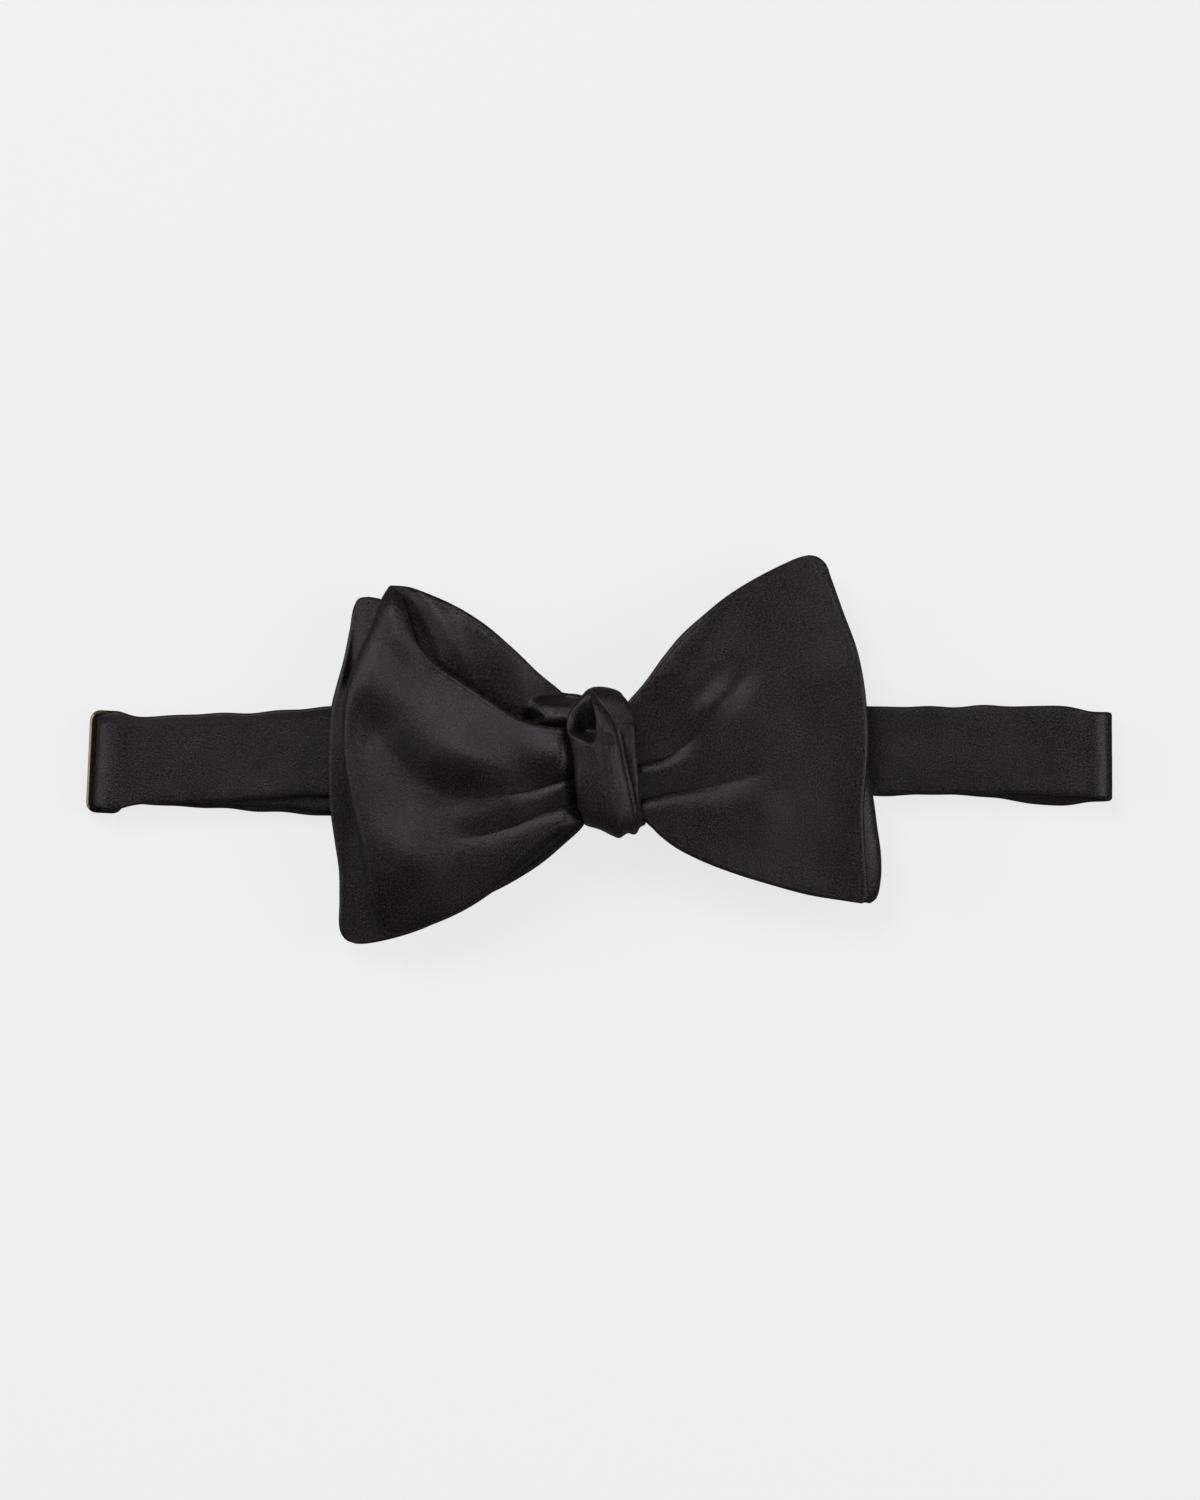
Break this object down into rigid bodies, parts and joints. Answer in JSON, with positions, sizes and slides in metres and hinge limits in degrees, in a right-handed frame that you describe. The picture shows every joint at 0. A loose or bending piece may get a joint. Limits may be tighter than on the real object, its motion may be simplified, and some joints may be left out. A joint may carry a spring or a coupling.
{
  "type": "bow tie",
  "caption": "Self-tied satin bow tie with drooping wings, a wrapped knot, and an adjustable neckband with a metal slide and a hook and eye, lying flat on its back.",
  "frame": {"origin": "middle of the tie's footprint, on the surface that it lies on", "axes": "+X along the flattened neckband, from the slide's end to the plain end; +Y towards the top of the bow as worn; +Z out of the front of the bow"},
  "size_m": [0.2336, 0.0883, 0.0243],
  "materials": {
    "satin": "black silk satin, soft sheen",
    "interlining": "woven wool and cotton interlining",
    "thread": "black polyester thread",
    "metal": "dark bronze plating, semi-gloss"
  },
  "bodies": {
    "tie": {"front_fold_face": "satin", "front_fold_lining": "satin", "front_tip_face": "satin", "front_tip_back": "satin", "back_tip_face": "satin", "back_tip_back": "satin", "back_fold_face": "satin", "back_fold_lining": "satin", "knot_wrap": "satin", "knot_under_wrap": "satin", "knot_core": "satin", "band_crossing": "satin", "right_band": "satin", "left_band": "satin", "adjuster_strap": "satin", "adjuster_tail": "satin", "eye_strap_loop": "satin", "front_fold_interlining": "interlining", "front_tip_interlining": "interlining", "back_tip_interlining": "interlining", "back_fold_interlining": "interlining", "right_band_interlining": "interlining", "left_band_interlining": "interlining", "eye_bar_tack": "thread", "closure_eye": "metal"},
    "adjuster": {"adjuster_slide": "metal", "adjuster_fold": "satin", "tail_end_loop": "satin", "tail_bar_tack": "thread"},
    "hook": {"closure_hook": "metal", "hook_strap_loop": "satin"}
  },
  "joints": [
    {"name": "slide_along_strap", "type": "slide", "parent": "tie", "child": "adjuster", "axis": [1, 0, 0], "range_m": [0, 0.05], "deforming": ["left_band", "left_band_interlining", "adjuster_strap", "adjuster_tail"]},
    {"name": "hook_off_eye", "type": "slide", "parent": "tie", "child": "hook", "axis": [1, 0, 0], "range_m": [0, 0.0026]}
  ]
}
